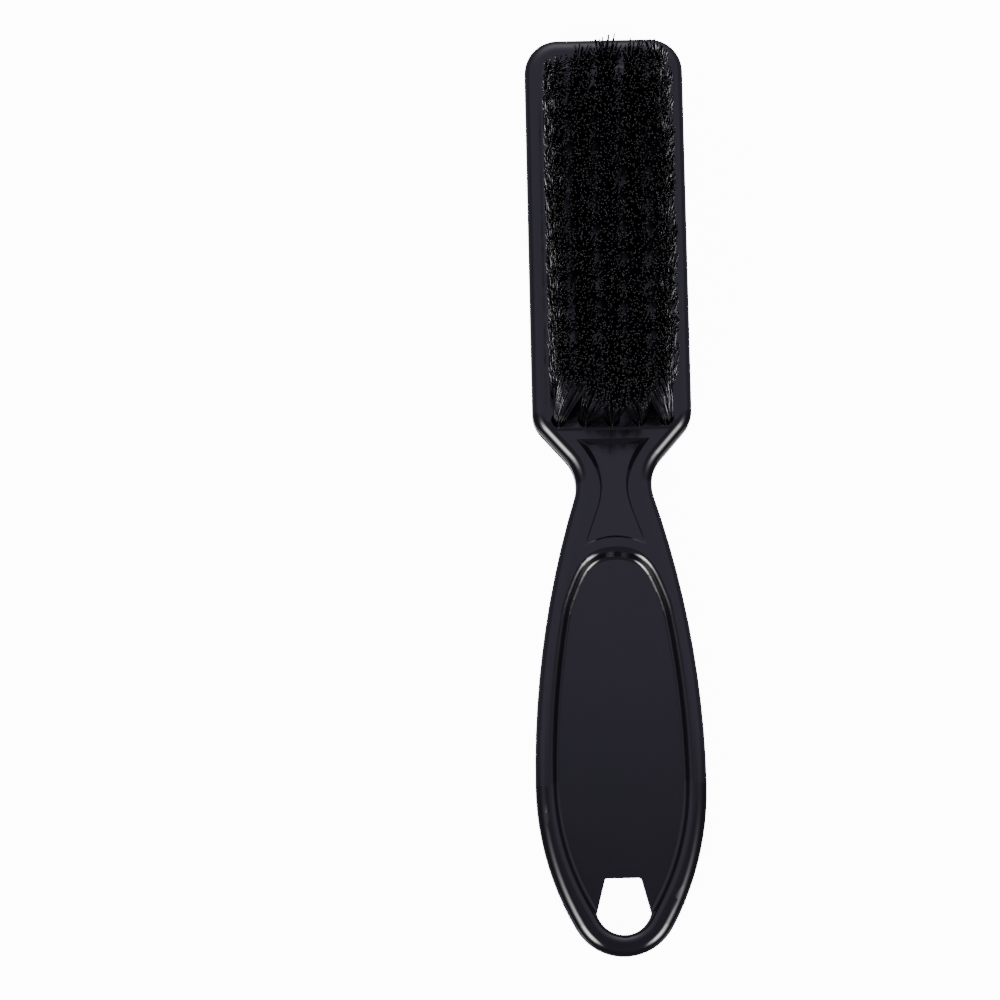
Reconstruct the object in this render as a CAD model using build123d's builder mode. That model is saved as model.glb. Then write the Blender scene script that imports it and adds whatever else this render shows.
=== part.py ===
from build123d import *
import os

# Fade brush: one moulded plastic piece is both the handle and the board that the bristles stand in.
# Each tuft of nylon filament is folded round a flat steel anchor and driven into a blind hole.
#
# Frame, in millimetres: +Z is up, the way the bristles point. +Y runs from the butt of the handle to
# the head. The origin is under the middle of the brush, on the plane that its flat back lies on.

# ---- driving dimensions: the moulded handle ----
LENGTH = 175.3
BOARD_T = 8.0  # thickness of the board and of the handle's rim
EDGE_R = 2.4  # rounding all round the front and the back

BUTT_R = 10.4  # the outline, butt first: each arc starts where the one before it ends
BUTT_TURN = 60.5
FLANK_R = 54.6
GRIP_R = 178.0
GRIP_TURN = 17.8
WAIST_R = 7.6
SHOULDER_ANGLE = 41.5  # the shoulder's slope, from the brush's axis
SHOULDER_LENGTH = 6.8
SHOULDER_R = 6.1
CROWN_R = 6.4

# ---- the oval recess in the handle, the same on the front and the back ----
PANEL_DEPTH = 1.6
PANEL_WALL = 0.7  # how far the wall leans out at the sides and the butt
PANEL_BUTT_Y = -83.4
PANEL_BUTT_R = 5.2
PANEL_BUTT_TURN = 61.0
PANEL_BUTT_FLAT = 3.6
PANEL_FLANK_R = 46.5
PANEL_GRIP_R = 174.0
PANEL_GRIP_TURN = 10.3
PANEL_ARCH = (0.82, 0.46)  # a point on the arch: parts of its half width and of its height
PANEL_CROWN_Y = -12.6
RIM_CROWN_Y = -11.15
RIM_ROUND = 1.2  # the wall swells over into the rim, and sweeps round into the panel
PANEL_ROUND = 0.8

# ---- the waisted recess in the neck, the same on the front and the back ----
NECK_TOP_Y = 9.0
NECK_WAIST_Y = 1.4
NECK_END_Y = -8.5
NECK_TOP_HALF = 5.0
NECK_WAIST_HALF = 2.3
NECK_END_HALF = 5.5
NECK_END_SAG = 1.6
NECK_TOP_DEPTH = 1.0
NECK_END_DEPTH = 0.2
NECK_WALL = 0.35
NECK_TOP_WALL = 1.0
NECK_CORNER_WALL = 2.0
NECK_TOP_SLOPE = 0.8  # how far the sides run inwards, for each step down: at the top corners
NECK_END_SLOPE = 0.3  # and outwards, at the end corners

# ---- the hole to hang the brush by ----
HOLE_TOP_Y = -72.9
HOLE_TOP_HALF = 3.4
HOLE_WIDE_Y = -79.6
HOLE_BUTT_R = 5.35  # a little more than the panel's own end, so that the rim's wall drops into the hole
HOLE_CORNER_R = 0.6

# ---- the bristle field ----
COLUMNS = 5
ROWS = 14
PITCH = 5.1
FIELD_Y = 46.85  # middle of the field
PAD_HEIGHT = 0.12  # the field stands on a low pad with gently sloping sides
PAD_SLOPE = 13.0
PAD_MARGIN = 2.1
PAD_CORNER_R = 2.2
TUFT_HOLE_D = 2.6
TUFT_HOLE_DEPTH = 4.4
TUFT_HOLE_CHAMFER = 0.15
TUFT_BASE_D = 2.5
TUFT_TIP_D = 4.3
BRISTLE_LENGTH = 22.0  # from the pad to the tips

# ---- the anchors: short flat wires, each across its hole and pressed into two grooves ----
ANCHOR_T = 0.35
ANCHOR_W = 3.1
ANCHOR_H = 1.5
ANCHOR_LIFT = 0.6  # filament folded under the anchor

PAD_TOP = BOARD_T + PAD_HEIGHT
TIP_Z = PAD_TOP + BRISTLE_LENGTH
TUFT_HOLE_FLOOR = PAD_TOP - TUFT_HOLE_DEPTH
ANCHOR_Z = TUFT_HOLE_FLOOR + ANCHOR_LIFT


def brush_outline():
    """The outline of the whole brush, as the right half of tangent arcs and its mirror image."""
    butt = JernArc((0, -LENGTH / 2), (1, 0), BUTT_R, BUTT_TURN)
    flank = JernArc(butt @ 1, butt % 1, FLANK_R, 90 - BUTT_TURN)
    grip = JernArc(flank @ 1, flank % 1, GRIP_R, GRIP_TURN)
    waist = JernArc(grip @ 1, grip % 1, WAIST_R, -GRIP_TURN - SHOULDER_ANGLE)
    shoulder = PolarLine(waist @ 1, SHOULDER_LENGTH, direction=waist % 1)
    corner = JernArc(shoulder @ 1, shoulder % 1, SHOULDER_R, SHOULDER_ANGLE)
    side = Line(corner @ 1, ((corner @ 1).X, LENGTH / 2 - CROWN_R))
    crown = JernArc(side @ 1, (0, 1), CROWN_R, 90)
    Line(crown @ 1, (0, LENGTH / 2))
    mirror(about=Plane.YZ)


def oval_outline(grow, crown_y):
    """The handle's oval: `grow` is how far it stands outside the panel, crown_y is the top of its arch."""
    butt = JernArc((0, PANEL_BUTT_Y - grow), (1, 0), PANEL_BUTT_R + grow, PANEL_BUTT_TURN)
    flat = PolarLine(butt @ 1, PANEL_BUTT_FLAT, direction=butt % 1)
    flank = JernArc(flat @ 1, flat % 1, PANEL_FLANK_R + grow, 90 - PANEL_BUTT_TURN)
    grip = JernArc(flank @ 1, flank % 1, PANEL_GRIP_R + grow, PANEL_GRIP_TURN)
    spring = grip @ 1
    across, up = PANEL_ARCH
    knee = (spring.X * across, spring.Y + (crown_y - spring.Y) * up)
    Spline(spring, knee, (0, crown_y), tangents=(grip % 1, (-1, 0)))
    mirror(about=Plane.YZ)


def neck_outline(wall, top_wall, corner_wall):
    """The neck's recess: a straight top, waisted sides and an arched end. The walls widen it."""
    top_y = NECK_TOP_Y + top_wall
    end_y = NECK_END_Y - wall
    top_corner = (NECK_TOP_HALF + corner_wall, top_y)
    waist = (NECK_WAIST_HALF + wall, NECK_WAIST_Y)
    end_corner = (NECK_END_HALF + wall, end_y - NECK_END_SAG)
    Line((0, top_y), top_corner)
    Spline(top_corner, waist, end_corner, tangents=((-NECK_TOP_SLOPE, -1), (NECK_END_SLOPE, -1)))
    ThreePointArc(end_corner, (0, end_y), (-end_corner[0], end_corner[1]))
    Spline((-end_corner[0], end_corner[1]), (-waist[0], waist[1]), (-top_corner[0], top_y),
           tangents=((NECK_END_SLOPE, 1), (-NECK_TOP_SLOPE, 1)))
    Line((-top_corner[0], top_y), (0, top_y))


def hang_hole_outline():
    """The hanging hole: narrow and straight at the top, and as round as the panel's end at the butt."""
    centre_y = PANEL_BUTT_Y + PANEL_BUTT_R
    wide_half = (HOLE_BUTT_R ** 2 - (HOLE_WIDE_Y - centre_y) ** 2) ** 0.5
    Polyline((wide_half, HOLE_WIDE_Y), (HOLE_TOP_HALF, HOLE_TOP_Y), (-HOLE_TOP_HALF, HOLE_TOP_Y),
             (-wide_half, HOLE_WIDE_Y))
    ThreePointArc((-wide_half, HOLE_WIDE_Y), (0, centre_y - HOLE_BUTT_R), (wide_half, HOLE_WIDE_Y))


def neck_floor_plane():
    """The neck's floor slopes: deep beside the head, almost level with the rim at the handle's end."""
    run = NECK_TOP_Y - NECK_END_Y
    rise = NECK_TOP_DEPTH - NECK_END_DEPTH
    depth_at_origin = NECK_TOP_DEPTH - rise * NECK_TOP_Y / run
    return Plane(origin=(0, 0, BOARD_T - depth_at_origin), x_dir=(1, 0, 0), z_dir=(0, rise, run))


def row_y(row):
    """Where row 1 to ROWS stands, counted from the neck."""
    return FIELD_Y + (row - 1 - (ROWS - 1) / 2) * PITCH


def row_places(row, z):
    """One point for each tuft of a row, at height z."""
    return [((column - (COLUMNS - 1) / 2) * PITCH, row_y(row), z) for column in range(COLUMNS)]


# ---- the neck's recess, as the solid that it removes from the front ----
with BuildPart() as neck_recess:
    with BuildSketch(neck_floor_plane()):
        with BuildLine():
            neck_outline(0, 0, 0)
        make_face()
    with BuildSketch(Plane.XY.offset(BOARD_T)):
        with BuildLine():
            neck_outline(NECK_WALL, NECK_TOP_WALL, NECK_CORNER_WALL)
        make_face()
    loft(ruled=True)


# ---- handle_body: handle, neck and bristle board, moulded in one piece ----
with BuildPart() as handle_body:
    with BuildSketch(Plane.XY):
        with BuildLine():
            brush_outline()
        make_face()
    extrude(amount=BOARD_T)
    flats = handle_body.faces().filter_by(Axis.Z)
    fillet(flats.edges(), EDGE_R)

    # The oval recess, front and back: the panel's outline inside, the rim's outline at the surface.
    for panel_z, surface_z in ((BOARD_T - PANEL_DEPTH, BOARD_T), (PANEL_DEPTH, 0)):
        with BuildSketch(Plane.XY.offset(panel_z)):
            with BuildLine():
                oval_outline(0, PANEL_CROWN_Y)
            make_face()
        with BuildSketch(Plane.XY.offset(surface_z)):
            with BuildLine():
                oval_outline(PANEL_WALL, RIM_CROWN_Y)
            make_face()
        loft(ruled=True, mode=Mode.SUBTRACT)
        oval_edges = handle_body.edges(Select.LAST)
        fillet(oval_edges.filter_by_position(Axis.Z, surface_z, surface_z), RIM_ROUND)
        fillet(oval_edges.filter_by_position(Axis.Z, panel_z, panel_z), PANEL_ROUND)

    # The neck's recess, front and back.
    add(neck_recess.part, mode=Mode.SUBTRACT)
    add(neck_recess.part.mirror(Plane.XY.offset(BOARD_T / 2)), mode=Mode.SUBTRACT)

    # The hanging hole, through the panel.
    with BuildSketch(Plane.XY):
        with BuildLine():
            hang_hole_outline()
        make_face()
        fillet(vertices().group_by(Axis.Y)[-1], HOLE_CORNER_R)
    extrude(amount=BOARD_T, mode=Mode.SUBTRACT)

    # The low pad under the bristle field.
    with BuildSketch(Plane.XY.offset(BOARD_T)):
        with Locations((0, FIELD_Y)):
            pad_width = (COLUMNS - 1) * PITCH + 2 * PAD_MARGIN
            pad_length = (ROWS - 1) * PITCH + 2 * PAD_MARGIN
            RectangleRounded(pad_width, pad_length, PAD_CORNER_R)
    extrude(amount=PAD_HEIGHT, taper=90 - PAD_SLOPE)

    # A blind hole for each tuft, with its mouth chamfered.
    with BuildSketch(Plane.XY.offset(PAD_TOP)):
        with Locations((0, FIELD_Y)):
            with GridLocations(PITCH, PITCH, COLUMNS, ROWS):
                Circle(TUFT_HOLE_D / 2)
    extrude(amount=-TUFT_HOLE_DEPTH, mode=Mode.SUBTRACT)
    mouths = handle_body.edges(Select.LAST).filter_by_position(Axis.Z, PAD_TOP, PAD_TOP)
    chamfer(mouths, TUFT_HOLE_CHAMFER)

    # The two grooves that each anchor cuts down the sides of its hole.
    with BuildSketch(Plane.XY.offset(PAD_TOP)):
        with Locations((0, FIELD_Y)):
            with GridLocations(PITCH, PITCH, COLUMNS, ROWS):
                Rectangle(ANCHOR_T, ANCHOR_W)
    extrude(amount=ANCHOR_Z - PAD_TOP, mode=Mode.SUBTRACT)

handle_body.part.label = "handle_body"

os.makedirs("parts", exist_ok=True)
export_step(handle_body.part, "parts/handle_body.step")

for row in range(1, ROWS + 1):
    # ---- tuft_row: the five tufts of one row, each folded round its anchor ----
    with BuildPart() as tuft_row:
        with Locations(*row_places(row, TUFT_HOLE_FLOOR)):
            Cylinder(TUFT_BASE_D / 2, TUFT_HOLE_DEPTH, align=(Align.CENTER, Align.CENTER, Align.MIN))
        with Locations(*row_places(row, PAD_TOP)):
            Cone(TUFT_BASE_D / 2, TUFT_TIP_D / 2, BRISTLE_LENGTH,
                 align=(Align.CENTER, Align.CENTER, Align.MIN))
        with Locations(*row_places(row, ANCHOR_Z)):
            Box(ANCHOR_T, ANCHOR_W, ANCHOR_H, align=(Align.CENTER, Align.CENTER, Align.MIN),
                mode=Mode.SUBTRACT)
    tuft_row.part.label = f"tuft_row_{row:02d}"
    export_step(tuft_row.part, f"parts/tuft_row_{row:02d}.step")

    # ---- anchor_row: the five flat wires that hold them ----
    with BuildPart() as anchor_row:
        with Locations(*row_places(row, ANCHOR_Z)):
            Box(ANCHOR_T, ANCHOR_W, ANCHOR_H, align=(Align.CENTER, Align.CENTER, Align.MIN))
    anchor_row.part.label = f"anchor_row_{row:02d}"
    export_step(anchor_row.part, f"parts/anchor_row_{row:02d}.step")
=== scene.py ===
import math

import bpy
import numpy as np
from mathutils import Matrix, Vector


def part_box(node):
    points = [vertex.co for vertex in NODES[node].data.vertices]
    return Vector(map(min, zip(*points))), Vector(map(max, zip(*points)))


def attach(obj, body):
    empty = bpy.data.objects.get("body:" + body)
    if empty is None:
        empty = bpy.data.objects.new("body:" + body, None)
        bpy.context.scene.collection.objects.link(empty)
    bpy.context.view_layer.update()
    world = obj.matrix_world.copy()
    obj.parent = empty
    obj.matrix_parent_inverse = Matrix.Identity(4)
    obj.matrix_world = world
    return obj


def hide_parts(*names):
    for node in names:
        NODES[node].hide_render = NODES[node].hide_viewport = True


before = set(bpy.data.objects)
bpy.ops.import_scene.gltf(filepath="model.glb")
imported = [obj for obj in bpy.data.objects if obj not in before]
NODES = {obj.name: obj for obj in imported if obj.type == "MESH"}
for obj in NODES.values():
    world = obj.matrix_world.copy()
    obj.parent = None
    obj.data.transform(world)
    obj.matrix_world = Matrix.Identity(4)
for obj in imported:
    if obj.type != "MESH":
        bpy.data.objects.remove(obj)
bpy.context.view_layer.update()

# Looks of the fade brush: the moulded handle keeps its CAD shape and gets gloss black plastic, the
# steel anchors get bright wire, and each row of tufts becomes a piece made of real filaments.
# Everything is in metres, in the frame's axes: +Z up, +Y from the butt of the handle to the head.

MM = 0.001
ROWS = sorted(name for name in NODES if name.startswith("tuft_row_"))
COLUMNS = 5

# The camera looks almost straight down, from a little towards the butt, with a long lens.
CAMERA_LENS = 140.4
SENSOR = 36.0
CAMERA_DISTANCE = 745.7 * MM
CAMERA_TILT = math.radians(7.0)
CLIP_NEAR = 0.01
CLIP_FAR = 20
BRUSH_TURN = math.radians(1.224)  # the brush lies turned this much in the view
BRUSH_ASIDE = 21.63 * MM  # and this far right of the view's middle
BRUSH_ALONG = -0.8 * MM  # the brush's middle, from the point of its axis beside the view's middle

# The filaments of one tuft.
FILAMENTS = 74
FILAMENT_R = 0.13 * MM
FILAMENT_SIDES = 6
FILAMENT_RINGS = 6
ROOT_DEPTH = 1.2 * MM  # how far the filaments are modelled down into the hole
ROOT_SPREAD = 1.12 * MM
TIP_SPREAD = 3.0 * MM
EDGE_SPREAD = 2.0 * MM  # at the field's edges, away from its middle
EDGE_SPREAD_RANGE = (0.8, 1.1)
LENGTH_SPREAD = 0.35 * MM
STEADY_LEAN = 0.45  # of a filament's lean is there from the root on, and the rest is its bend
LEAN_LIMIT = 0.5  # of a filament's length
SEED = 20

# The domed cut end of a filament, as parts of its radius.
DOME_R = 0.7
DOME_RISE = 0.35
POINT_RISE = 0.5

# How filaments stray: lengths in millimetres, at the tip except for the wave.
PACKING_SHAKE = 0.035  # as a part of the tuft's radius
STRAY = 0.32
WILD_STRAY = 0.8
WILD_SHARE = 0.05
WAVE = 0.10  # sideways, half way up

# How whole tufts lean at the tips, in millimetres. Both ends' leans fade over so many rows.
NECK_FADE = 0.9
CROWN_FADE = 1.1
FIELD_INWARDS = 0.15
NECK_INWARDS = 3.0
CROWN_INWARDS = 1.3
NECK_FORWARD = 2.0  # towards the crown
NECK_CORNERS_FORWARD = 2.8
NECK_LEFT_FORWARD = 0.6
CROWN_BACK = 0.2  # towards the neck
CROWN_SIDES_BACK = 1.0
CROWN_LEFT_BACK = 2.4
LEAN_WANDER = 0.30

# The combed outer filaments of the edge columns, in millimetres.
EDGE_COLUMN = 0.9  # of the way from the field's middle to its outermost column
COMBED_SHARE = 0.25
COMBED_OUTSIDE = 0.15  # of the tuft's radius
COMBED_FORWARD = (2.5, 6.0)
COMBED_INWARDS = 0.3
COMBED_INWARDS_SPREAD = 0.5
COMBED_FADE = 2  # rows from the crown

# Tones of each material, from the darkest to the palest, and ranges of roughness.
PLASTIC_TONES = ((0.0012, 0.0011, 0.0014), (0.0020, 0.0018, 0.0023))
PLASTIC_ROUGHNESS = (0.07, 0.13)
NYLON_TONES = ((0.0018, 0.0018, 0.0020), (0.0032, 0.0032, 0.0036))
NYLON_ROUGHNESS = (0.07, 0.20)
CUT_TONES = ((0.0014, 0.0014, 0.0016), (0.022, 0.022, 0.024))
CUT_ROUGHNESS = (0.45, 0.65)
CUT_SPECULAR = 0.3
STEEL_TONES = ((0.50, 0.50, 0.48), (0.68, 0.68, 0.66))
STEEL_ROUGHNESS = (0.2, 0.38)
PAPER_TONES = ((0.86, 0.86, 0.86), (0.90, 0.90, 0.90))
PAPER_ROUGHNESS = 0.9

# The backdrop: a flat disc, then a bend up into a wall.
FLOOR_R = 1.6
BEND_R = 1.2
WALL_TOP = 3.0
BEND_STEPS = 12
STEPS_AROUND = 96
BACKDROP_GLOW = 12.0

# The room. Each soft light: azimuth from the brush's side towards the butt, lift, strength left and
# right, sharpness. Each change of light: its range, and the range of the direction's part it follows.
ROOM_LIGHT = 0.86
ROOM_TINT = (0.77, 0.71, 1.0)
CEILING_BY_HEIGHT = ((0.38, 1.0), (-0.05, 0.40))
CEILING_BY_LENGTH = ((0.46, 1.06), (0.015, 0.10))
KEY_LIGHTS = (
    (48, 37, 36.0, 26.0, 33),  # the heart of each key light
    (35, 37, 5.0, 3.5, 24),  # its soft edge towards the brush's side
)
KEYS_BY_SIDE = ((0.0, 1.0), (0.36, 0.56))  # the keys leave the middle of the butt dark
FILL_LIGHTS = (
    (38, -34, 1.5, 1.2, 60),  # the keys' glow in the table
    (-90, 26, 0.8, 0.8, 8),  # a dim light beyond the crown
)
TABLE_LIGHT = 3.4  # a ring of glow in the table, round the point straight below
TABLE_INNER_EDGE = ((0.0, TABLE_LIGHT), (-0.975, -0.955))
TABLE_OUTER_EDGE = ((1.0, 0.0), (-0.94, -0.905))


# ---- shader nodes ----
def new_material(name):
    material = bpy.data.materials.new(name)
    material.use_nodes = True
    nodes = material.node_tree.nodes
    return material, nodes, material.node_tree.links, nodes["Principled BSDF"]


def object_coordinates(nodes):
    return nodes.new("ShaderNodeTexCoord").outputs["Object"]


def noise(nodes, links, vector, scale, detail, roughness=0.5):
    node = nodes.new("ShaderNodeTexNoise")
    node.inputs["Scale"].default_value = scale
    node.inputs["Detail"].default_value = detail
    node.inputs["Roughness"].default_value = roughness
    links.new(vector, node.inputs["Vector"])
    return node.outputs["Fac"]


def map_range(nodes, links, value, to_range, from_range=(0.0, 1.0)):
    node = nodes.new("ShaderNodeMapRange")
    node.inputs["From Min"].default_value, node.inputs["From Max"].default_value = from_range
    node.inputs["To Min"].default_value, node.inputs["To Max"].default_value = to_range
    links.new(value, node.inputs["Value"])
    return node.outputs["Result"]


def mix_tones(nodes, links, factor, tones):
    node = nodes.new("ShaderNodeMix")
    node.data_type = "RGBA"
    node.inputs["A"].default_value = (*tones[0], 1)
    node.inputs["B"].default_value = (*tones[1], 1)
    links.new(factor, node.inputs["Factor"])
    return node.outputs["Result"]


def bump(nodes, links, height, strength, distance, under=None):
    node = nodes.new("ShaderNodeBump")
    node.inputs["Strength"].default_value = strength
    node.inputs["Distance"].default_value = distance
    links.new(height, node.inputs["Height"])
    if under is not None:
        links.new(under, node.inputs["Normal"])
    return node.outputs["Normal"]


def stretched(nodes, links, vector, scale, turn=0.0):
    node = nodes.new("ShaderNodeMapping")
    node.inputs["Scale"].default_value = scale
    node.inputs["Rotation"].default_value = (0, 0, turn)
    links.new(vector, node.inputs["Vector"])
    return node.outputs["Vector"]


def maths(nodes, links, operation, *values):
    """A math node, each of whose values is a number or another node's output."""
    node = nodes.new("ShaderNodeMath")
    node.operation = operation
    for socket, value in zip(node.inputs, values):
        if isinstance(value, (int, float)):
            socket.default_value = value
        else:
            links.new(value, socket)
    return node.outputs[0]


# ---- materials ----
def handle_plastic():
    """Gloss black moulding: faint flow marks, handling haze, hairline scratches, a little orange peel."""
    material, nodes, links, shader = new_material("gloss_black_moulding")
    where = object_coordinates(nodes)
    along_handle = stretched(nodes, links, where, (1, 0.25, 1))
    flow = noise(nodes, links, along_handle, scale=60, detail=4)
    links.new(mix_tones(nodes, links, flow, PLASTIC_TONES), shader.inputs["Base Color"])
    haze = noise(nodes, links, where, scale=140, detail=5, roughness=0.6)
    gloss = map_range(nodes, links, haze, PLASTIC_ROUGHNESS, from_range=(0.3, 0.7))
    links.new(gloss, shader.inputs["Roughness"])
    peel = noise(nodes, links, where, scale=900, detail=2)
    slanted = stretched(nodes, links, where, (40, 1.2, 40), turn=0.5)
    scratch = noise(nodes, links, slanted, scale=120, detail=2)
    peel_bump = bump(nodes, links, peel, strength=0.05, distance=0.02 * MM)
    scratch_bump = bump(nodes, links, scratch, strength=0.04, distance=0.01 * MM, under=peel_bump)
    links.new(scratch_bump, shader.inputs["Normal"])
    return material


def bristle_nylon():
    """Glossy black filament, with a slight change of tone from one filament to the next."""
    material, nodes, links, shader = new_material("black_nylon_filament")
    along_filament = stretched(nodes, links, object_coordinates(nodes), (1, 1, 0.05))
    tone = noise(nodes, links, along_filament, scale=900, detail=1)
    links.new(mix_tones(nodes, links, tone, NYLON_TONES), shader.inputs["Base Color"])
    gloss = map_range(nodes, links, tone, NYLON_ROUGHNESS, from_range=(0.38, 0.60))
    links.new(gloss, shader.inputs["Roughness"])
    return material


def cut_nylon():
    """The cut end of a filament: duller than its side, and paler on some filaments."""
    material, nodes, links, shader = new_material("cut_filament_end")
    tone = noise(nodes, links, object_coordinates(nodes), scale=2500, detail=1)
    picked = map_range(nodes, links, tone, (0.0, 1.0), from_range=(0.52, 0.76))
    links.new(mix_tones(nodes, links, picked, CUT_TONES), shader.inputs["Base Color"])
    links.new(map_range(nodes, links, tone, CUT_ROUGHNESS), shader.inputs["Roughness"])
    shader.inputs["Specular IOR Level"].default_value = CUT_SPECULAR
    return material


def anchor_steel():
    """Bright flat wire with drawing marks along it."""
    material, nodes, links, shader = new_material("bright_wire")
    along_wire = stretched(nodes, links, object_coordinates(nodes), (20, 1, 20))
    grain = noise(nodes, links, along_wire, scale=300, detail=3)
    links.new(mix_tones(nodes, links, grain, STEEL_TONES), shader.inputs["Base Color"])
    shader.inputs["Metallic"].default_value = 1.0
    links.new(map_range(nodes, links, grain, STEEL_ROUGHNESS), shader.inputs["Roughness"])
    return material


def backdrop_paper():
    """White paper that glows, so that it stays white with no lamp on it."""
    material, nodes, links, shader = new_material("white_paper")
    grain = noise(nodes, links, object_coordinates(nodes), scale=40, detail=3)
    links.new(mix_tones(nodes, links, grain, PAPER_TONES), shader.inputs["Base Color"])
    shader.inputs["Roughness"].default_value = PAPER_ROUGHNESS
    shader.inputs["Specular IOR Level"].default_value = 0.0
    shader.inputs["Emission Color"].default_value = (1, 1, 1, 1)
    shader.inputs["Emission Strength"].default_value = BACKDROP_GLOW
    return material


# ---- bristles ----
def row_layout(name):
    """The tufts' places in one row and the heights of its pad and tips, read from the frame."""
    low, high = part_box(name)
    tip_radius = (high.y - low.y) / 2
    first = low.x + tip_radius
    pitch = (high.x - low.x - 2 * tip_radius) / (COLUMNS - 1)
    columns = [first + column * pitch for column in range(COLUMNS)]
    pad_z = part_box("handle_body")[1].z
    return columns, (low.y + high.y) / 2, pad_z, high.z


def tuft_lean(x_part, row, rng):
    """How far a tuft's tips stand from straight above its hole: the field's ends are pushed inwards.
    x_part runs from -1 at the left column to 1 at the right one, and row counts from the neck."""
    from_neck = math.exp(-row / NECK_FADE)
    from_crown = math.exp(-(len(ROWS) - 1 - row) / CROWN_FADE)
    corner = abs(x_part) ** 3
    inwards = -x_part * (FIELD_INWARDS + NECK_INWARDS * from_neck)
    inwards -= math.copysign(corner, x_part) * CROWN_INWARDS * from_crown
    forward = NECK_FORWARD + NECK_CORNERS_FORWARD * corner - NECK_LEFT_FORWARD * x_part
    back = CROWN_BACK + CROWN_SIDES_BACK * x_part ** 2 - CROWN_LEFT_BACK * min(0.0, x_part)
    along = forward * from_neck - back * from_crown
    wander = rng.normal(0, LEAN_WANDER, 2)
    return np.array([inwards + wander[0], along + wander[1]]) * MM


def edge_combing(x_part, row, disc, rng):
    """Some outer filaments of the edge columns are combed towards the crown and a little inwards."""
    outwards = disc[:, 0] * x_part
    combed = (outwards > COMBED_OUTSIDE) & (rng.random(len(disc)) < COMBED_SHARE)
    combed &= abs(x_part) > EDGE_COLUMN
    rows_to_crown = len(ROWS) - 1 - row
    towards_crown = rng.uniform(*COMBED_FORWARD, len(disc)) * min(1.0, rows_to_crown / COMBED_FADE)
    inwards = rng.normal(COMBED_INWARDS, COMBED_INWARDS_SPREAD, len(disc))
    return combed[:, None] * np.stack([-x_part * inwards, towards_crown], axis=1) * MM


def disc_points(rng, count):
    """Evenly packed points in a unit disc, turned and shaken a little."""
    index = np.arange(count) + 0.5
    radius = np.sqrt(index / count)
    angle = index * math.pi * (3 - math.sqrt(5)) + rng.uniform(0, 2 * math.pi)
    points = np.stack([radius * np.cos(angle), radius * np.sin(angle)], axis=1)
    return points + rng.normal(0, PACKING_SHAKE, points.shape)


def tip_offsets(disc, x_part, row, rng):
    """How far each filament's tip stands from straight above the middle of its tuft's hole."""
    stray = rng.normal(0, STRAY, disc.shape) * MM + edge_combing(x_part, row, disc, rng)
    is_wild = rng.random(FILAMENTS) < WILD_SHARE
    wild = is_wild[:, None] * rng.normal(0, WILD_STRAY, disc.shape) * MM
    offset = disc * TIP_SPREAD + tuft_lean(x_part, row, rng) + stray + wild
    if abs(x_part) > EDGE_COLUMN:
        reach = EDGE_SPREAD * rng.uniform(*EDGE_SPREAD_RANGE, FILAMENTS)
        offset[:, 0] = x_part * np.minimum(x_part * offset[:, 0], reach)
    return offset


def filament_lines(x, y, pad_z, tip_z, x_part, row, rng):
    """Centre lines of one tuft's filaments, as an array of filaments by rings by xyz."""
    disc = disc_points(rng, FILAMENTS)
    roots = np.array([x, y]) + disc * ROOT_SPREAD
    tips = np.array([x, y]) + tip_offsets(disc, x_part, row, rng)
    tips_z = tip_z - np.abs(rng.normal(0, LENGTH_SPREAD, FILAMENTS))
    root_z = pad_z - ROOT_DEPTH
    rise = np.linspace(0, 1, FILAMENT_RINGS)
    bend = STEADY_LEAN * rise + (1 - STEADY_LEAN) * rise ** 2
    lines = np.empty((FILAMENTS, FILAMENT_RINGS, 3))
    lines[:, :, :2] = roots[:, None] + (tips - roots)[:, None] * bend[None, :, None]
    wave = rng.normal(0, WAVE, disc.shape)[:, None] * np.sin(math.pi * rise)[None, :, None] * MM
    lines[:, :, :2] += wave
    # A filament that leans further ends lower, because they are all about the same length.
    travel = np.linalg.norm(tips - roots, axis=1)
    length = tips_z - root_z
    height = np.sqrt(length ** 2 - np.minimum(travel, LEAN_LIMIT * length) ** 2)
    lines[:, :, 2] = root_z + height[:, None] * rise[None]
    return lines


def filament_vertices(lines):
    """Rings round each centre line, then a smaller ring and a point that dome its cut end."""
    turn = np.arange(FILAMENT_SIDES) * 2 * math.pi / FILAMENT_SIDES
    ring = np.stack([np.cos(turn), np.sin(turn), np.zeros(FILAMENT_SIDES)], axis=1)
    tubes = lines[:, :, None, :] + ring[None, None] * FILAMENT_R
    dome = lines[:, -1, None, :] + ring[None] * FILAMENT_R * DOME_R
    dome[:, :, 2] += FILAMENT_R * DOME_RISE
    point = lines[:, -1].copy()
    point[:, 2] += FILAMENT_R * POINT_RISE
    return np.concatenate([tubes.reshape(len(lines), -1, 3), dome, point[:, None]], axis=1)


def filament_faces():
    """One filament's faces as vertex numbers, and their slots: 0 on its side and 1 on its cut end."""
    around = [(side, (side + 1) % FILAMENT_SIDES) for side in range(FILAMENT_SIDES)]
    dome = FILAMENT_RINGS * FILAMENT_SIDES
    point = dome + FILAMENT_SIDES
    quads = []
    for low in range(0, dome, FILAMENT_SIDES):
        high = low + FILAMENT_SIDES
        quads += [(low + side, low + after, high + after, high + side) for side, after in around]
    caps = [(dome + side, dome + after, point) for side, after in around]
    floor = tuple(reversed(range(FILAMENT_SIDES)))
    end_faces = 2 * FILAMENT_SIDES
    slots = [0] * (len(quads) + len(caps) - end_faces) + [1] * end_faces + [0]
    return quads + caps + [floor], slots


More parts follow.
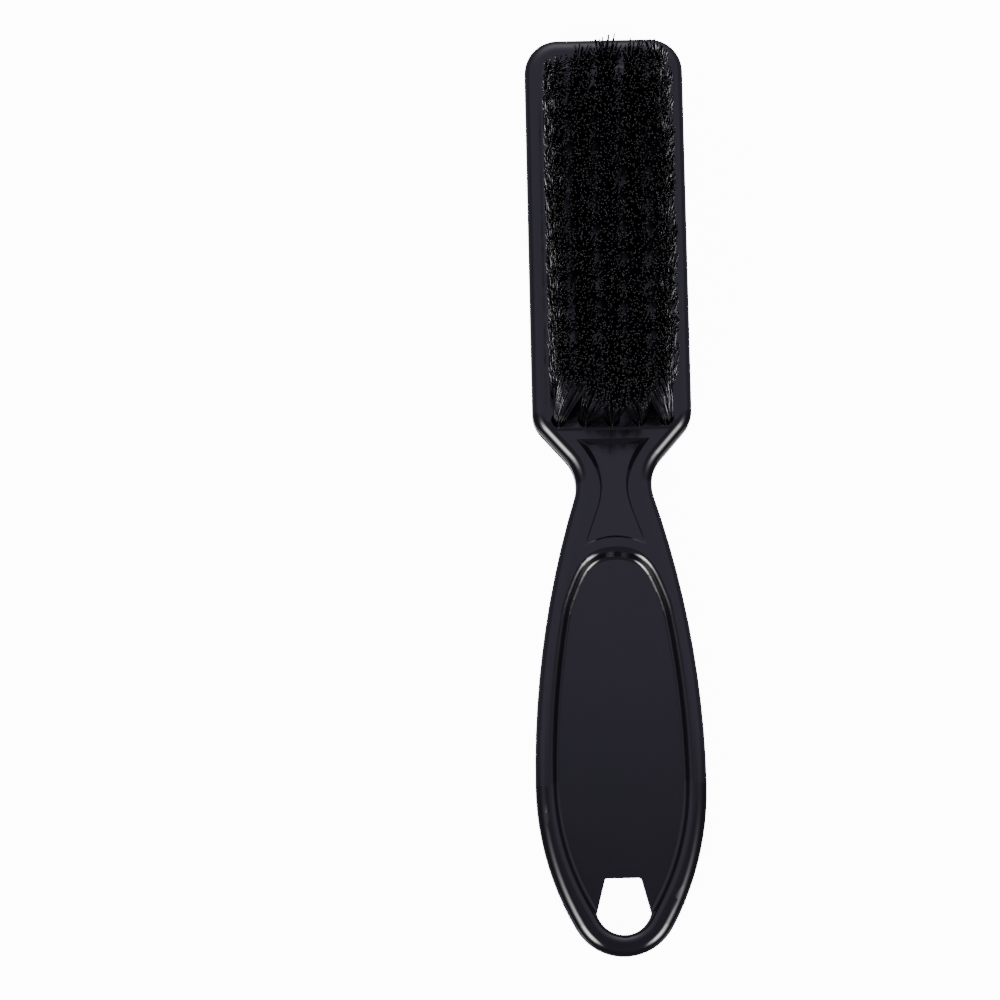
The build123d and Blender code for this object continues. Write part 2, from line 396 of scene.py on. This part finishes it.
def filament_mesh(name, lines, side_material, end_material):
    vertices = filament_vertices(lines)
    filament, filament_slots = filament_faces()
    count, per_filament = vertices.shape[:2]
    faces = [tuple(start + corner for corner in face)
             for start in range(0, count * per_filament, per_filament) for face in filament]
    mesh = bpy.data.meshes.new(name)
    mesh.from_pydata(vertices.reshape(-1, 3).tolist(), [], faces)
    mesh.materials.append(side_material)
    mesh.materials.append(end_material)
    mesh.polygons.foreach_set("material_index", filament_slots * count)
    mesh.polygons.foreach_set("use_smooth", [True] * len(faces))
    mesh.update()
    return mesh


def bristle_row(name, row, side_material, end_material):
    """One row of tufts as one piece, in place of its CAD solids."""
    rng = np.random.default_rng(SEED + row)
    columns, y, pad_z, tip_z = row_layout(name)
    half = (columns[-1] - columns[0]) / 2
    lines = np.concatenate([
        filament_lines(x, y, pad_z, tip_z, x / half, row, rng) for x in columns
    ])
    mesh = filament_mesh(name.replace("tuft", "bristles"), lines, side_material, end_material)
    piece = bpy.data.objects.new(mesh.name, mesh)
    bpy.context.collection.objects.link(piece)
    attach(piece, "root")
    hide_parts(name)


# ---- stage ----
def make_camera():
    """The brush lies turned and aside in the view, so the camera is turned and moved the other way."""
    data = bpy.data.cameras.new("camera")
    data.lens = CAMERA_LENS
    data.sensor_width = SENSOR
    data.clip_start = CLIP_NEAR
    data.clip_end = CLIP_FAR
    camera = bpy.data.objects.new("camera", data)
    bpy.context.collection.objects.link(camera)
    in_view = Matrix.Translation((0, -math.sin(CAMERA_TILT) * CAMERA_DISTANCE,
                                  math.cos(CAMERA_TILT) * CAMERA_DISTANCE))
    in_view = in_view @ Matrix.Rotation(CAMERA_TILT, 4, "X")
    brush_in_view = (Matrix.Translation((BRUSH_ASIDE, 0, 0)) @ Matrix.Rotation(BRUSH_TURN, 4, "Z")
                     @ Matrix.Translation((0, -BRUSH_ALONG, 0)))
    camera.matrix_world = brush_in_view.inverted() @ in_view
    bpy.context.scene.camera = camera


def backdrop_profile():
    """Radius and height of the backdrop's rings, from the edge of its flat disc to its top."""
    bends = [math.pi / 2 * (step + 1) / BEND_STEPS for step in range(BEND_STEPS)]
    profile = [(FLOOR_R, 0.0)]
    profile += [(FLOOR_R + BEND_R * math.sin(a), BEND_R - BEND_R * math.cos(a)) for a in bends]
    return profile + [(FLOOR_R + BEND_R, WALL_TOP)]


def make_backdrop():
    """A pale floor that curves up into a plain backdrop all round. No gloss or shade comes from it."""
    profile = backdrop_profile()
    turns = [2 * math.pi * step / STEPS_AROUND for step in range(STEPS_AROUND)]
    vertices = [(0, 0, 0)]
    for radius, z in profile:
        vertices += [(radius * math.cos(turn), radius * math.sin(turn), z) for turn in turns]
    around = [(step, (step + 1) % STEPS_AROUND) for step in range(STEPS_AROUND)]
    faces = [(0, 1 + step, 1 + after) for step, after in around]
    for ring in range(len(profile) - 1):
        low = 1 + ring * STEPS_AROUND
        high = low + STEPS_AROUND
        faces += [(low + step, high + step, high + after, low + after) for step, after in around]
    mesh = bpy.data.meshes.new("backdrop")
    mesh.from_pydata(vertices, [], faces)
    mesh.polygons.foreach_set("use_smooth", [True] * len(faces))
    mesh.materials.append(backdrop_paper())
    backdrop = bpy.data.objects.new("backdrop", mesh)
    bpy.context.collection.objects.link(backdrop)
    backdrop.visible_glossy = False
    backdrop.visible_diffuse = False
    backdrop.visible_shadow = False


def soft_light(nodes, links, direction, toward, strength, sharpness):
    """A round light with a soft edge: the cosine of the angle from its middle, to a power."""
    dot = nodes.new("ShaderNodeVectorMath")
    dot.operation = "DOT_PRODUCT"
    dot.inputs[1].default_value = toward
    links.new(direction, dot.inputs[0])
    front = maths(nodes, links, "MAXIMUM", dot.outputs["Value"], 0.0)
    return maths(nodes, links, "MULTIPLY", maths(nodes, links, "POWER", front, sharpness), strength)


def light_pairs(nodes, links, direction, lights):
    """The soft lights on both sides of the brush, added up."""
    total = None
    for azimuth, lift, left, right, sharpness in lights:
        across = math.cos(math.radians(azimuth)) * math.cos(math.radians(lift))
        back = -math.sin(math.radians(azimuth)) * math.cos(math.radians(lift))
        up = math.sin(math.radians(lift))
        for side, strength in ((-1, left), (1, right)):
            light = soft_light(nodes, links, direction, (side * across, back, up), strength, sharpness)
            total = light if total is None else maths(nodes, links, "ADD", total, light)
    return total


def ceiling_strength(nodes, links, along, up):
    """Brighter overhead than at the horizon, and brighter towards the crown."""
    by_height = map_range(nodes, links, up, *CEILING_BY_HEIGHT)
    by_length = map_range(nodes, links, along, *CEILING_BY_LENGTH)
    ceiling = maths(nodes, links, "MULTIPLY", by_height, by_length)
    return maths(nodes, links, "MULTIPLY", ceiling, ROOM_LIGHT)


def lamp_strength(nodes, links, direction, across, up):
    """The keys to the sides, the fills, and the ring of glow in the table."""
    to_side = map_range(nodes, links, maths(nodes, links, "ABSOLUTE", across), *KEYS_BY_SIDE)
    keys = maths(nodes, links, "MULTIPLY", light_pairs(nodes, links, direction, KEY_LIGHTS), to_side)
    table = maths(nodes, links, "MULTIPLY", map_range(nodes, links, up, *TABLE_INNER_EDGE),
                  map_range(nodes, links, up, *TABLE_OUTER_EDGE))
    fills = maths(nodes, links, "ADD", light_pairs(nodes, links, direction, FILL_LIGHTS), table)
    return maths(nodes, links, "ADD", keys, fills)


def make_room():
    """A dim, slightly violet ceiling and white lights, all in the world's shader."""
    world = bpy.data.worlds.new("studio")
    bpy.context.scene.world = world
    world.use_nodes = True
    nodes, links = world.node_tree.nodes, world.node_tree.links
    direction = nodes.new("ShaderNodeTexCoord").outputs["Generated"]
    split = nodes.new("ShaderNodeSeparateXYZ")
    links.new(direction, split.inputs["Vector"])
    across, along, up = split.outputs
    ceiling = nodes["Background"]
    ceiling.inputs["Color"].default_value = (*ROOM_TINT, 1)
    links.new(ceiling_strength(nodes, links, along, up), ceiling.inputs["Strength"])
    lamps = nodes.new("ShaderNodeBackground")
    lamps.inputs["Color"].default_value = (1, 1, 1, 1)
    links.new(lamp_strength(nodes, links, direction, across, up), lamps.inputs["Strength"])
    both = nodes.new("ShaderNodeAddShader")
    links.new(ceiling.outputs[0], both.inputs[0])
    links.new(lamps.outputs[0], both.inputs[1])
    links.new(both.outputs[0], nodes["World Output"].inputs["Surface"])


# ---- making ----
make_camera()
make_room()
make_backdrop()

plastic = handle_plastic()
steel = anchor_steel()
filament_side, filament_end = bristle_nylon(), cut_nylon()

for name, node in NODES.items():
    node.data.materials.clear()
    node.data.materials.append(plastic if name == "handle_body" else steel)

for row, name in enumerate(ROWS):
    bristle_row(name, row, filament_side, filament_end)
